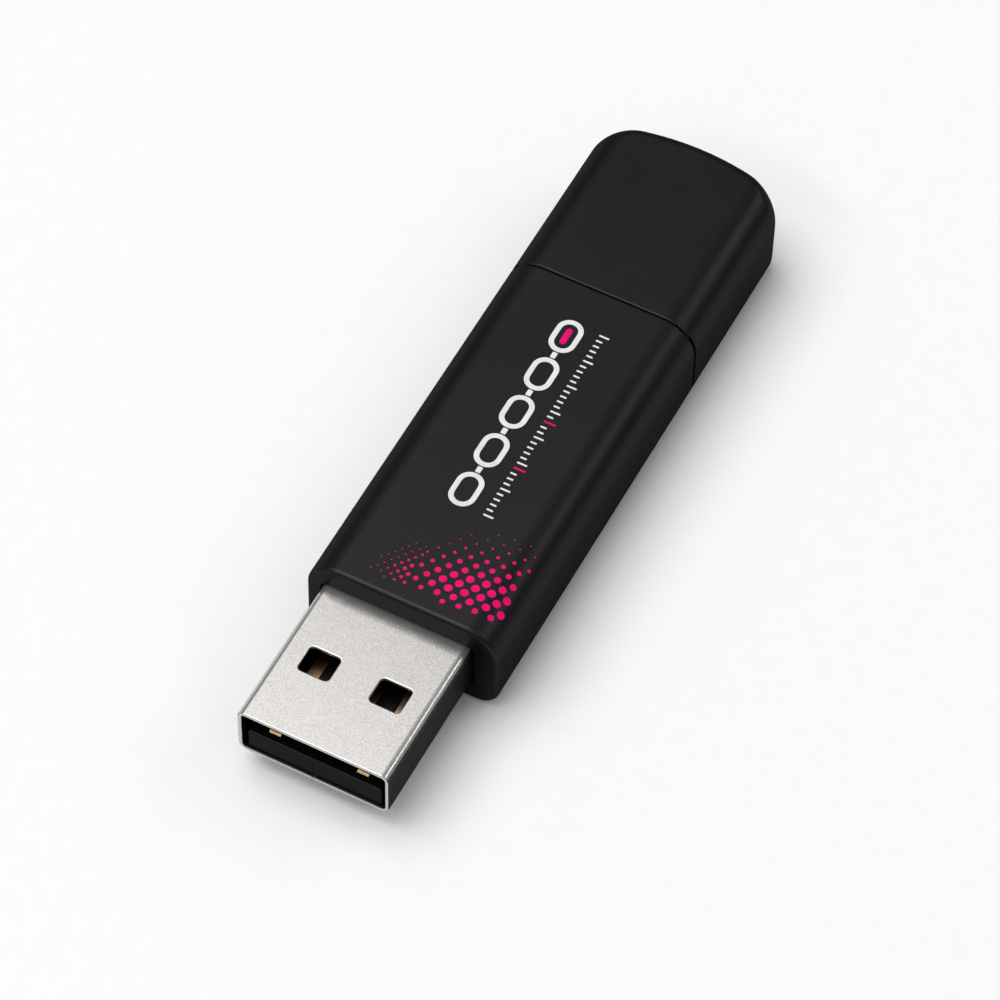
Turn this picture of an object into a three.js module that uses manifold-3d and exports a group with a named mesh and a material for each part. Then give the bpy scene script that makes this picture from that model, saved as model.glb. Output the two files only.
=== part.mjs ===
// USB flash drive with a pull-off cap, shown with the plug bare and the cap parked on the body's tail.
//
// Frame: millimetres, +Z up. The plug's mouth faces -Y and the cap's closed end faces +Y. The origin is the
// centre of the footprint, on the surface that the drive lies on.
//
// The body is a moulded sleeve, closed at the front except for the plug's opening. The circuit board with the
// plug slides in from the rear, along two pairs of rails, and the tail plug snaps in behind it. The tail plug
// carries a tenon of the plug's own outline, so that the cap fits either end.

import * as THREE from "three";
import { mergeVertices } from "three/addons/utils/BufferGeometryUtils.js";
import Module from "manifold-3d";

const wasm = await Module();
wasm.setup();

// ---------------------------------------------------------------------------------------------------------
// Driving dimensions
// ---------------------------------------------------------------------------------------------------------

const LENGTH = 59.7; // from the plug's mouth to the middle of the cap's closed end
const WIDTH = 15.4;
const HEIGHT = 8.2;
const TOP_CORNER = 2.8; // radius of the two upper long edges
const BOTTOM_CORNER = 1.8; // radius of the two lower long edges
const WALL = 1.1;
const FRONT_WALL = 1.2;
const FRONT_EDGE = 0.35; // rounding round the body's front face
const SEAM_EDGE = 0.15; // rounding on both sides of the seam between the body and the cap
const SEAM = 0.06;
const CAP_LENGTH = 16.1;
const CAP_END = { arc: 21.0, corner: 1.5, edge: 0.8 }; // the closed end is bowed, seen from above
const CAP_DEPTH = 13.0; // a little more than the plug's reach
const CAP_FIT = 0.2; // free space between the cap's cavity and the plug or the tenon

// The plug is a standard type A plug.
const SHELL_WIDTH = 12.0;
const SHELL_HEIGHT = 4.5;
const SHELL_LENGTH = 18.5;
const SHELL_CORNER = 0.64;
const SHEET = 0.3; // thickness of the shell's steel
const PLUG_REACH = 12.3; // bare length in front of the body
const PLUG_GAP = 0.12; // between the shell and the opening that it comes out of
const PLUG_X = -0.4; // the plug sits slightly to the left of the body's middle
const PLUG_Z = 3.9;
const WINDOW = { width: 2.5, length: 2.2, corner: 0.35, fromMouth: 5.1, fromMiddle: 2.85 };
const TONGUE = { width: 10.7, height: 1.9, fromMouth: 0.2, rootFromMouth: 9.3 };
const CONTACT = { width: 1.0, thickness: 0.25, top: 0.05, end: 20.2, ramp: 0.2 };
const CONTACT_CLEARANCE = 0.05;

const BOARD = { width: 12.8, thickness: 0.8, front: -11.2, rear: 11.6, corner: 0.6 };
const BOARD_TOP = PLUG_Z + CONTACT.top - CONTACT.thickness - 0.03; // the contacts' tails lie on the board

const TENON_LENGTH = 8.0;
const TENON_WALL = 1.1;
const TENON_EDGE = 0.5;
const PLATE = 2.0; // the tail plug's thickness inside the sleeve
const TAIL_CLEARANCE = 0.08; // between the tail plug and the sleeve
const HOOK = { width: 4.0, reach: 6.0, thickness: 0.75, nose: 0.4, noseLength: 0.7, lead: 0.9 };

const CORNER_SEGMENTS = 6;
const SPARE = 1.0; // how far a cutting or trimming solid runs past what it cuts

// Places that follow from the dimensions
const MOUTH_Y = -LENGTH / 2;
const FRONT_Y = MOUTH_Y + PLUG_REACH;
const TAIL_Y = LENGTH / 2;
const CAP_MOUTH_Y = TAIL_Y - CAP_LENGTH;
const REAR_Y = CAP_MOUTH_Y - SEAM; // the body's rear face
const PLATE_Y = REAR_Y - PLATE;
const TENON_X = -PLUG_X; // the cap is turned half round to go from one end to the other

// ---------------------------------------------------------------------------------------------------------
// Materials
// ---------------------------------------------------------------------------------------------------------

const finish = (color, roughness, metalness = 0) =>
  new THREE.MeshStandardMaterial({ color, roughness, metalness });

const blackPlastic = finish(0x1a1a1b, 0.55);
const insulatorPlastic = finish(0x121213, 0.5);
const steel = finish(0xcfcbc7, 0.3, 1);
const gold = finish(0xc8964a, 0.3, 1);
const boardGreen = finish(0x14402a, 0.45);
const chipEpoxy = finish(0x202022, 0.6);
const nickel = finish(0xb9b9b6, 0.25, 1);
const ledBody = finish(0xe8e4d8, 0.35);
const capacitorTan = finish(0xa58257, 0.5);
const resistorBlack = finish(0x17171a, 0.4);

// ---------------------------------------------------------------------------------------------------------
// Shapes and solids
// ---------------------------------------------------------------------------------------------------------

// A rectangle about (x, z), with one radius for its upper corners and one for its lower corners.
function roundedRect(width, height, top, bottom = top, x = 0, z = 0) {
  const [left, right] = [x - width / 2, x + width / 2];
  const [low, high] = [z - height / 2, z + height / 2];
  const quarter = Math.PI / 2;
  return new THREE.Shape()
    .absarc(right - top, high - top, top, 0, quarter, false)
    .absarc(left + top, high - top, top, quarter, 2 * quarter, false)
    .absarc(left + bottom, low + bottom, bottom, 2 * quarter, 3 * quarter, false)
    .absarc(right - bottom, low + bottom, bottom, 3 * quarter, 4 * quarter, false);
}

// The outline that the body and the cap share, taken in by a distance.
function section(inset = 0) {
  return roundedRect(
    WIDTH - 2 * inset,
    HEIGHT - 2 * inset,
    TOP_CORNER - inset,
    BOTTOM_CORNER - inset,
    0,
    HEIGHT / 2,
  );
}

function plugOutline(grow, x, z) {
  const corner = SHELL_CORNER + grow;
  return roundedRect(SHELL_WIDTH + 2 * grow, SHELL_HEIGHT + 2 * grow, corner, corner, x, z);
}

function polygon(points) {
  return new THREE.Shape(points.map(([x, y]) => new THREE.Vector2(x, y)));
}

function solid(geometry) {
  const bare = geometry.clone();
  bare.deleteAttribute("normal");
  bare.deleteAttribute("uv");
  const merged = mergeVertices(bare, 1e-4);
  return new wasm.Manifold(
    new wasm.Mesh({
      numProp: 3,
      vertProperties: merged.attributes.position.array,
      triVerts: new Uint32Array(merged.index.array),
    }),
  );
}

function geometryOf(made) {
  const { vertProperties, triVerts } = made.getMesh();
  const geometry = new THREE.BufferGeometry();
  geometry.setAttribute("position", new THREE.BufferAttribute(vertProperties, 3));
  geometry.setIndex(new THREE.BufferAttribute(triVerts, 1));
  geometry.computeVertexNormals();
  return geometry;
}

function extrusion(shape, depth, edge, segments) {
  const geometry = new THREE.ExtrudeGeometry(shape, {
    depth: depth - 2 * edge,
    bevelEnabled: edge > 0,
    bevelThickness: edge,
    bevelSize: edge,
    bevelOffset: -edge,
    bevelSegments: 3,
    curveSegments: segments,
  });
  return geometry.translate(0, 0, edge);
}

// A shape drawn in (x, z), run from y0 to y1, with the edges of both ends rounded by edge.
function alongY(shape, y0, y1, edge = 0, segments = CORNER_SEGMENTS) {
  return solid(extrusion(shape, y1 - y0, edge, segments).rotateX(Math.PI / 2).translate(0, y1, 0));
}

// A shape drawn in (x, y), run from z0 to z1.
function alongZ(shape, z0, z1, edge = 0, segments = 2) {
  return solid(extrusion(shape, z1 - z0, edge, segments).translate(0, 0, z0));
}

// A shape drawn in (y, z), run from x0 to x1.
function alongX(points, x0, x1) {
  const turn = new THREE.Matrix4().makeBasis(
    new THREE.Vector3(0, 1, 0),
    new THREE.Vector3(0, 0, 1),
    new THREE.Vector3(1, 0, 0),
  );
  return solid(extrusion(polygon(points), x1 - x0, 0, 1).applyMatrix4(turn).translate(x0, 0, 0));
}

function box([x0, x1], [y0, y1], [z0, z1]) {
  const geometry = new THREE.BoxGeometry(x1 - x0, y1 - y0, z1 - z0);
  return solid(geometry.translate((x0 + x1) / 2, (y0 + y1) / 2, (z0 + z1) / 2));
}

const joined = (first, ...rest) => rest.reduce((whole, piece) => whole.add(piece), first);
const cut = (whole, ...tools) => tools.reduce((left, tool) => left.subtract(tool), whole);

function part(name, made, material, position = [0, 0, 0]) {
  const mesh = new THREE.Mesh(geometryOf(made), material);
  mesh.name = name;
  mesh.position.set(...position);
  return mesh;
}

function group(position, ...children) {
  const made = new THREE.Group();
  made.position.set(...position);
  made.add(...children);
  return made;
}

// ---------------------------------------------------------------------------------------------------------
// Enclosure: sleeve, tail plug and cap
// ---------------------------------------------------------------------------------------------------------

// The side view of one snap hook, above the middle (up = 1) or below it (up = -1).
function hookProfile(up) {
  const outside = HEIGHT / 2 - WALL - TAIL_CLEARANCE;
  const [inner, outer] = [outside - HOOK.thickness, outside];
  const tip = PLATE_Y - HOOK.reach;
  const side = [
    [PLATE_Y + SPARE / 2, inner],
    [PLATE_Y + SPARE / 2, outer],
    [tip + HOOK.lead + HOOK.noseLength, outer],
    [tip + HOOK.lead + HOOK.noseLength, outer + HOOK.nose],
    [tip + HOOK.lead, outer + HOOK.nose],
    [tip, outer],
    [tip, inner],
  ];
  const placed = side.map(([y, z]) => [y, HEIGHT / 2 + up * z]);
  return up > 0 ? placed : placed.reverse();
}

// The blind pocket that a hook's nose clicks into, inside the sleeve's top or bottom wall.
function hookPocket(up) {
  const tip = PLATE_Y - HOOK.reach;
  const inside = HEIGHT / 2 - WALL;
  const z = [HEIGHT / 2 + up * (inside - SPARE / 2), HEIGHT / 2 + up * (inside + HOOK.nose + 0.05)];
  const half = HOOK.width / 2 + 0.2;
  return box([-half, half], [tip, tip + HOOK.lead + HOOK.noseLength + 0.1], z.sort((a, b) => a - b));
}

// Rails that hold the board's long edges, one above and one below it on each side.
function boardRails() {
  const run = [-6.3, 3.2];
  const inside = WIDTH / 2 - WALL;
  const gap = 0.05;
  const rib = 0.6;
  const rails = [];
  for (const side of [-1, 1]) {
    const across = (reach) => [side * (inside - reach), side * (inside + WALL / 2)].sort((a, b) => a - b);
    rails.push(box(across(0.45), run, [BOARD_TOP + gap, BOARD_TOP + gap + rib]));
    const under = BOARD_TOP - BOARD.thickness - gap;
    rails.push(box(across(rib), run, [under - rib, under]));
  }
  return rails;
}

function bodySleeve() {
  const outside = alongY(section(), FRONT_Y, REAR_Y + SPARE, FRONT_EDGE).intersect(
    alongY(section(), FRONT_Y - SPARE, REAR_Y, SEAM_EDGE),
  );
  const cavity = alongY(section(WALL), FRONT_Y + FRONT_WALL, REAR_Y + SPARE);
  const opening = plugOutline(PLUG_GAP, PLUG_X, PLUG_Z);
  const hollow = cut(
    outside,
    cavity,
    alongY(opening, FRONT_Y - SPARE, FRONT_Y + FRONT_WALL + SPARE, 0, 3),
    hookPocket(1),
    hookPocket(-1),
  );
  return joined(hollow, ...boardRails());
}

function tailPlug() {
  const plate = alongY(section(WALL + TAIL_CLEARANCE), PLATE_Y, REAR_Y);
  const tenonEnd = REAR_Y + TENON_LENGTH;
  const tenon = alongY(plugOutline(0, TENON_X, PLUG_Z), PLATE_Y, tenonEnd, TENON_EDGE, 4);
  const core = roundedRect(
    SHELL_WIDTH - 2 * TENON_WALL,
    SHELL_HEIGHT - 2 * TENON_WALL,
    0.4,
    0.4,
    TENON_X,
    PLUG_Z,
  );
  const half = HOOK.width / 2;
  return joined(
    cut(joined(plate, tenon), alongY(core, PLATE_Y - SPARE, tenonEnd - TENON_WALL, 0, 2)),
    alongX(hookProfile(1), -half, half),
    alongX(hookProfile(-1), -half, half),
  );
}

// The cap seen from above, run on past its mouth: straight sides, round corners and a bowed end.
function capPlan() {
  const { arc, corner } = CAP_END;
  const half = WIDTH / 2;
  const middle = TAIL_Y - arc;
  const reach = arc - corner; // from the bow's centre to the corners' centres
  const turn = Math.asin((half - corner) / reach);
  const cornerY = middle + reach * Math.cos(turn);
  const sweep = (x, y, radius, from, to, steps) =>
    Array.from({ length: steps + 1 }, (_, step) => {
      const angle = from + ((to - from) * step) / steps;
      return [x + radius * Math.cos(angle), y + radius * Math.sin(angle)];
    });
  return polygon([
    [half, CAP_MOUTH_Y - 2 * SPARE],
    ...sweep(half - corner, cornerY, corner, 0, Math.PI / 2 - turn, 6),
    ...sweep(0, middle, arc, Math.PI / 2 - turn, Math.PI / 2 + turn, 15).slice(1, -1),
    ...sweep(corner - half, cornerY, corner, Math.PI / 2 + turn, Math.PI, 6),
    [-half, CAP_MOUTH_Y - 2 * SPARE],
  ]);
}

// The cap's cavity has four low ribs that grip the plug or the tenon.
function cap() {
  const outside = alongY(section(), CAP_MOUTH_Y, TAIL_Y + SPARE, SEAM_EDGE).intersect(
    alongZ(capPlan(), 0, HEIGHT, CAP_END.edge, CORNER_SEGMENTS),
  );
  const cavityEnd = CAP_MOUTH_Y + CAP_DEPTH;
  const cavity = alongY(plugOutline(CAP_FIT, TENON_X, PLUG_Z), CAP_MOUTH_Y - SPARE, cavityEnd, 0, 3);
  const rib = { width: 0.6, height: 0.12, from: CAP_MOUTH_Y + 1.0, to: cavityEnd + SPARE / 2 };
  const ribs = [];
  for (const side of [-1, 1]) {
    for (const up of [-1, 1]) {
      const x = TENON_X + side * WINDOW.fromMiddle;
      const wall = SHELL_HEIGHT / 2 + CAP_FIT;
      const z = [PLUG_Z + up * (wall - rib.height), PLUG_Z + up * (wall + 0.3)].sort((a, b) => a - b);
      ribs.push(box([x - rib.width / 2, x + rib.width / 2], [rib.from, rib.to], z));
    }
  }
  return joined(cut(outside, cavity), ...ribs);
}

// ---------------------------------------------------------------------------------------------------------
// Plug, in its own frame: the mouth at y = 0, the tongue's upper face and the contacts near z = 0
// ---------------------------------------------------------------------------------------------------------

const LEG = { from: 18.0, to: 20.6, top: 1.3, bottom: -0.2, pinFrom: 19.1, pinTo: 20.4, pinBottom: -1.5 };

// A folded sheet with four windows, a butt seam underneath and two solder legs at the rear.
function plugShell() {
  const tube = cut(
    alongY(plugOutline(0, 0, 0), 0, SHELL_LENGTH, 0, 4),
    alongY(plugOutline(-SHEET, 0, 0), -SPARE, SHELL_LENGTH + SPARE, 0, 4),
    box([-0.04, 0.04], [-SPARE, SHELL_LENGTH + SPARE], [-SHELL_HEIGHT, -SHELL_HEIGHT / 4]),
  );
  const windows = [-1, 1].map((side) =>
    alongZ(
      roundedRect(
        WINDOW.width,
        WINDOW.length,
        WINDOW.corner,
        WINDOW.corner,
        side * WINDOW.fromMiddle,
        WINDOW.fromMouth + WINDOW.length / 2,
      ),
      -SHELL_HEIGHT,
      SHELL_HEIGHT,
      0,
      3,
    ),
  );
  const legs = [-1, 1].map((side) => {
    const x = [side * (SHELL_WIDTH / 2 - SHEET), (side * SHELL_WIDTH) / 2].sort((a, b) => a - b);
    return joined(
      box(x, [LEG.from, LEG.to], [LEG.bottom, LEG.top]),
      box(x, [LEG.pinFrom, LEG.pinTo], [LEG.pinBottom, LEG.bottom + 0.1]),
    );
  });
  return joined(cut(tube, ...windows), ...legs);
}

// Name, distance from the middle and distance of the front end from the mouth. The outer two meet first.
const CONTACTS = [
  ["contact_power", -3.5, 0.8],
  ["contact_data_minus", -1.0, 1.8],
  ["contact_data_plus", 1.0, 1.8],
  ["contact_ground", 3.5, 0.8],
];

function plugInsulator() {
  const corner = SHELL_CORNER - SHEET - CONTACT_CLEARANCE;
  const inner = roundedRect(
    SHELL_WIDTH - 2 * (SHEET + CONTACT_CLEARANCE),
    SHELL_HEIGHT - 2 * (SHEET + CONTACT_CLEARANCE),
    corner,
  );
  const base = alongY(inner, TONGUE.rootFromMouth, SHELL_LENGTH - 0.1, 0, 3);
  const tongueShape = roundedRect(TONGUE.width, TONGUE.height, 0.2, 0.3, 0, -TONGUE.height / 2);
  const tongue = alongY(tongueShape, TONGUE.fromMouth, TONGUE.rootFromMouth + SPARE, 0.15, 2);
  const grooves = CONTACTS.map(([, x, front]) => {
    const half = CONTACT.width / 2 + CONTACT_CLEARANCE;
    const bottom = CONTACT.top - CONTACT.thickness - CONTACT_CLEARANCE / 2;
    const top = CONTACT.top + CONTACT_CLEARANCE / 2;
    return box([x - half, x + half], [front - CONTACT_CLEARANCE, SHELL_LENGTH + SPARE], [bottom, top]);
  });
  return cut(joined(base, tongue), ...grooves);
}

// A flat strip whose front end dips into the tongue, and whose tail lies on the board.
function contact(front) {
  const [bottom, top] = [CONTACT.top - CONTACT.thickness, CONTACT.top];
  const side = [
    [front, bottom],
    [CONTACT.end, bottom],
    [CONTACT.end, top],
    [front + CONTACT.ramp, top],
    [front, top - CONTACT.thickness / 2],
  ];
  return alongX(side, -CONTACT.width / 2, CONTACT.width / 2);
}

// ---------------------------------------------------------------------------------------------------------
// Board and what is soldered to it. A component's own frame has z = 0 on the board and +z away from it.
// ---------------------------------------------------------------------------------------------------------

function circuitBoard() {
  const length = BOARD.rear - BOARD.front;
  const outline = roundedRect(
    BOARD.width,
    length,
    BOARD.corner,
    BOARD.corner,
    0,
    (BOARD.rear + BOARD.front) / 2,
  );
  const gap = 0.2;
  const notches = [-1, 1].map((side) => {
    const x = PLUG_X + side * (SHELL_WIDTH / 2 - SHEET / 2);
    return box(
      [x - SHEET / 2 - gap, x + SHEET / 2 + gap],
      [MOUTH_Y + LEG.pinFrom - gap, MOUTH_Y + LEG.pinTo + gap],
      [-BOARD.thickness - SPARE, SPARE],
    );
  });
  return cut(alongZ(outline, -BOARD.thickness, 0, 0, 3), ...notches);
}

// One gull-wing lead leaving a package along +y from y = 0, as a strip about x = 0.
function lead(width, thickness, reach, height) {
  const foot = reach * 0.55;
  const knee = reach - foot;
  const side = [
    [-0.2, height],
    [knee, height],
    [knee, thickness],
    [reach, thickness],
    [reach, 0.02],
    [knee - thickness, 0.02],
    [knee - thickness, height - thickness],
    [-0.2, height - thickness],
  ];
  return alongX(side.reverse(), -width / 2, width / 2);
}

// A flat package with rows of leads on the sides at the given turns, in degrees about z.
function leadedPackage({ width, length, height, perSide, pitch, reach, turns }) {
  const stand = 0.08;
  const thickness = 0.12;
  const shape = roundedRect(width, length, 0.15);
  const body = alongZ(shape, stand, stand + height, 0.1, 1);
  const one = lead(0.2, thickness, reach, stand + height / 2);
  const leads = [];
  for (const turn of turns) {
    const out = turn % 180 === 0 ? length / 2 : width / 2;
    for (let i = 0; i < perSide; i++) {
      const x = (i - (perSide - 1) / 2) * pitch;
      leads.push(one.translate([x, out, 0]).rotate([0, 0, turn]));
    }
  }
  return joined(body, ...leads);
}

const flashMemory = () =>
  leadedPackage({
    width: 12.0,
    length: 18.4,
    height: 1.0,
    perSide: 24,
    pitch: 0.5,
    reach: 0.8,
    turns: [0, 180],
  });

const controller = () =>
  leadedPackage({
    width: 7.0,
    length: 7.0,
    height: 1.0,
    perSide: 12,
    pitch: 0.5,
    reach: 1.0,
    turns: [0, 90, 180, 270],
  });

const crystal = () => alongZ(roundedRect(3.2, 2.5, 0.4), 0.03, 0.75, 0.12, 2);

// A substrate with a narrower lens on it.
function statusLed() {
  return joined(
    box([-0.8, 0.8], [-0.4, 0.4], [0.03, 0.25]),
    alongZ(roundedRect(1.0, 0.7, 0.1), 0.2, 0.65, 0.08, 1),
  );
}

// A chip capacitor or resistor: a bar with slightly thicker metal ends.
function chipComponent(height) {
  const ends = [-1, 1].map((side) =>
    box([side * 0.8, side * 0.5].sort((a, b) => a - b), [-0.4, 0.4], [0.03, 0.03 + height]),
  );
  return joined(box([-0.6, 0.6], [-0.37, 0.37], [0.06, height]), ...ends);
}

// Places on the board's underside, as seen from below.
const CAPACITORS = [[-3.0, -9.6], [3.0, -9.6], [4.6, 2.3], [-4.2, 6.7]];
const RESISTORS = [[4.6, 4.3], [1.2, 2.5], [4.3, 7.1], [-4.2, 8.7]];

// ---------------------------------------------------------------------------------------------------------
// Assembly
// ---------------------------------------------------------------------------------------------------------

const enclosure = group(
  [0, 0, 0],
  part("body_sleeve", bodySleeve(), blackPlastic),
  part("tail_plug", tailPlug(), blackPlastic),
  part("cap", cap(), blackPlastic),
);

const plug = group(
  [PLUG_X, MOUTH_Y, PLUG_Z],
  part("plug_shell", plugShell(), steel),
  part("plug_insulator", plugInsulator(), insulatorPlastic),
  ...CONTACTS.map(([name, x, front]) => part(name, contact(front), gold, [x, 0, 0])),
);

const underside = group(
  [0, 0, -BOARD.thickness],
  part("controller", controller(), chipEpoxy, [0, -3.7, 0]),
  part("crystal", crystal(), nickel, [-3.8, 2.9, 0]),
  part("status_led", statusLed(), ledBody, [0, 10.3, 0]),
  ...CAPACITORS.map(([x, y], i) => part(`capacitor_${i + 1}`, chipComponent(0.8), capacitorTan, [x, y, 0])),
  ...RESISTORS.map(([x, y], i) => part(`resistor_${i + 1}`, chipComponent(0.45), resistorBlack, [x, y, 0])),
);
underside.rotation.y = Math.PI;

const board = group(
  [0, 0, BOARD_TOP],
  part("circuit_board", circuitBoard(), boardGreen),
  part("flash_memory", flashMemory(), chipEpoxy, [0, 1.1, 0]),
  underside,
);

const drive = new THREE.Group();
drive.add(enclosure, plug, board);

export default drive;
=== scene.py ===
"""Looks of a USB flash drive with a pull-off cap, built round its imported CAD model.

The drive lies along Y with its printed face up, the plug's mouth at -Y and the cap parked on the tail at +Y.
Shapes are modelled in millimetres and put into metres when they are finished.
"""

import logging
import math
from dataclasses import dataclass, replace
from enum import Enum

import bmesh
import bpy
from mathutils import Matrix, Vector


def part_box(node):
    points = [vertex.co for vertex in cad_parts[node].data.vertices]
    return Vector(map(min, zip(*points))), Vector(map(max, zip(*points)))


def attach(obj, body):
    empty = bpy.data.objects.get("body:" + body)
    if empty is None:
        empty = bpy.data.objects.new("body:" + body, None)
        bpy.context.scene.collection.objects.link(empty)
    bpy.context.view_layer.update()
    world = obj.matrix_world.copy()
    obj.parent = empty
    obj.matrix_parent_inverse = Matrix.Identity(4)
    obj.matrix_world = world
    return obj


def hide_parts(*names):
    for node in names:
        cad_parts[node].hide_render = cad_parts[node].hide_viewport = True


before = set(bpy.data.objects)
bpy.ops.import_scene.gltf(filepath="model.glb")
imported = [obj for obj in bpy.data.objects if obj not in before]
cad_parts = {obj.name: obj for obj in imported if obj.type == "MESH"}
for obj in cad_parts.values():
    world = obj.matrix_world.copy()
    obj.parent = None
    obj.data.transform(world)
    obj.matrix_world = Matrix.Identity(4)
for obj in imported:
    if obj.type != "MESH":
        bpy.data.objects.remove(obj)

LOG = logging.getLogger("flash_drive")
MM = 0.001
DRIVE = "drive"
CAP = "cap"
SHARP = math.radians(40)
Colour = tuple[float, float, float]


# ------------------------------------------------------------------------------------------------------------
# Node materials
# ------------------------------------------------------------------------------------------------------------


class Band(Enum):
    """How wide the features of a surface pattern are, as a noise scale for object coordinates in metres."""

    GRAIN = 9000.0
    BLAST = 7200.0
    SPECKLE = 4200.0
    MOTTLE = 700.0
    CLOUD = 130.0


class ShaderSheet:
    """One node material under construction: a shader on a surface output, and what feeds it."""

    def __init__(self, name: str) -> None:
        """Starts an empty material with its shader.

        Args:
            name: the material's name.
        """
        self.material = bpy.data.materials.new(name)
        self.material.use_nodes = True
        self.tree = self.material.node_tree
        self.tree.nodes.clear()
        self.shader = self.tree.nodes.new("ShaderNodeBsdfPrincipled")
        output = self.tree.nodes.new("ShaderNodeOutputMaterial")
        self.link(self.shader.outputs["BSDF"], output.inputs["Surface"])
        self.place = self.tree.nodes.new("ShaderNodeTexCoord").outputs["Object"]

    def link(self, source: bpy.types.NodeSocket, target: bpy.types.NodeSocket) -> None:
        """Joins two sockets."""
        self.tree.links.new(source, target)

    def constant(self, **values: float | tuple[float, ...]) -> None:
        """Sets the shader's own sockets.

        Args:
            **values: socket names in lower case with underscores, and their values.
        """
        for name, value in values.items():
            socket = next(s for s in self.shader.inputs if s.name.lower().replace(" ", "_") == name)
            socket.default_value = value

    def noise(self, scale: float, detail: float = 2.0, stretch: Vector | None = None) -> bpy.types.NodeSocket:
        """A noise pattern on object coordinates.

        Args:
            scale: features per metre.
            detail: how many finer layers are added.
            stretch: how the pattern is scaled along each axis, or None for an even one.

        Returns:
            The pattern's value, from 0 to 1.
        """
        node = self.tree.nodes.new("ShaderNodeTexNoise")
        node.inputs["Scale"].default_value = scale
        node.inputs["Detail"].default_value = detail
        where = self.place
        if stretch is not None:
            mapping = self.tree.nodes.new("ShaderNodeMapping")
            mapping.inputs["Scale"].default_value = stretch
            self.link(where, mapping.inputs["Vector"])
            where = mapping.outputs["Vector"]
        self.link(where, node.inputs["Vector"])
        return node.outputs["Fac"]

    def roughen(self, value: bpy.types.NodeSocket, low: float, high: float) -> bpy.types.NodeSocket:
        """Lets the middle of a noise pattern set the roughness.

        Args:
            value: the pattern.
            low: the roughness at its lower values.
            high: the roughness at its upper values.

        Returns:
            The roughness.
        """
        node = self.tree.nodes.new("ShaderNodeMapRange")
        for name, number in (("From Min", 0.3), ("From Max", 0.7), ("To Min", low), ("To Max", high)):
            node.inputs[name].default_value = number
        self.link(value, node.inputs["Value"])
        self.link(node.outputs["Result"], self.shader.inputs["Roughness"])
        return node.outputs["Result"]

    def paint(self, value: bpy.types.NodeSocket, dark: Colour, light: Colour) -> None:
        """Lets the middle of a noise pattern set the colour.

        Args:
            value: the pattern.
            dark: the colour at its lower values.
            light: the colour at its upper values.
        """
        ramp = self.tree.nodes.new("ShaderNodeValToRGB")
        first, last = ramp.color_ramp.elements
        first.position, last.position = 0.32, 0.68
        first.color, last.color = (*dark, 1.0), (*light, 1.0)
        self.link(value, ramp.inputs["Fac"])
        self.link(ramp.outputs["Color"], self.shader.inputs["Base Color"])

    def bump(self, height: bpy.types.NodeSocket, depth: float) -> None:
        """Gives the surface a relief.

        Args:
            height: the relief's pattern, from 0 to 1.
            depth: its depth in metres.
        """
        node = self.tree.nodes.new("ShaderNodeBump")
        node.inputs["Distance"].default_value = depth
        self.link(height, node.inputs["Height"])
        self.link(node.outputs["Normal"], self.shader.inputs["Normal"])


@dataclass(frozen=True)
class MouldedPlastic:
    """Finely grained black plastic under a thin soft-touch lacquer.

    The lacquer is a faint coat of a very high index, so that its dull sheen stays the same from every side.
    """

    name: str = "moulded_black"
    dark: Colour = (0.0022, 0.0022, 0.0023)
    light: Colour = (0.0046, 0.0045, 0.0046)
    roughness: float = 0.34
    variation: float = 0.03
    lacquer: float = 0.057
    lacquer_ior: float = 4.0
    grain_depth: float = 6e-6

    def material(self) -> bpy.types.Material:
        """Builds the material."""
        sheet = ShaderSheet(self.name)
        sheet.constant(specular_ior_level=0.0, coat_weight=self.lacquer, coat_ior=self.lacquer_ior)
        grain = sheet.noise(Band.GRAIN.value, 3.0)
        sheet.paint(grain, self.dark, self.light)
        cloud = sheet.noise(Band.CLOUD.value, 4.0)
        rough = sheet.roughen(cloud, self.roughness - self.variation, self.roughness + self.variation)
        sheet.link(rough, sheet.shader.inputs["Coat Roughness"])
        sheet.bump(grain, self.grain_depth)
        normal = sheet.shader.inputs["Normal"].links[0].from_socket
        sheet.link(normal, sheet.shader.inputs["Coat Normal"])
        return sheet.material


@dataclass(frozen=True)
class BlastedNickel:
    """Nickel plating on sheet steel that was blasted with fine beads before plating.

    Its pits scatter a share of the light in all directions. A low glancing value dulls it seen edge-on.
    """

    name: str = "blasted_nickel"
    dark: Colour = (0.508, 0.495, 0.481)
    light: Colour = (0.642, 0.624, 0.605)
    roughness: float = 0.24
    variation: float = 0.02
    grain_depth: float = 1e-6
    glancing: float = 1.0
    scatter: float = 0.0

    def material(self) -> bpy.types.Material:
        """Builds the material."""
        sheet = ShaderSheet(self.name)
        tint = (self.glancing, self.glancing, self.glancing, 1.0)
        sheet.constant(metallic=1.0 - self.scatter, specular_tint=tint)
        speckle = sheet.noise(Band.BLAST.value, 3.0)
        sheet.paint(speckle, self.dark, self.light)
        mottle = sheet.noise(Band.MOTTLE.value, 3.0)
        sheet.roughen(mottle, self.roughness - self.variation, self.roughness + self.variation)
        sheet.bump(speckle, self.grain_depth)
        return sheet.material


@dataclass(frozen=True)
class PlatedMetal:
    """Plated metal with faint draw lines: gold on the contacts, nickel on the crystal, tin on the leads."""

    name: str
    dark: Colour
    light: Colour
    roughness: float = 0.28
    variation: float = 0.06
    grain_depth: float = 3e-6
    stretch: tuple[float, float, float] = (1.0, 0.08, 1.0)

    def material(self) -> bpy.types.Material:
        """Builds the material."""
        sheet = ShaderSheet(self.name)
        sheet.constant(metallic=1.0)
        lines = sheet.noise(Band.GRAIN.value, 2.0, Vector(self.stretch))
        sheet.paint(lines, self.dark, self.light)
        mottle = sheet.noise(Band.MOTTLE.value, 2.0)
        sheet.roughen(mottle, self.roughness - self.variation, self.roughness + self.variation)
        sheet.bump(lines, self.grain_depth)
        return sheet.material


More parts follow.
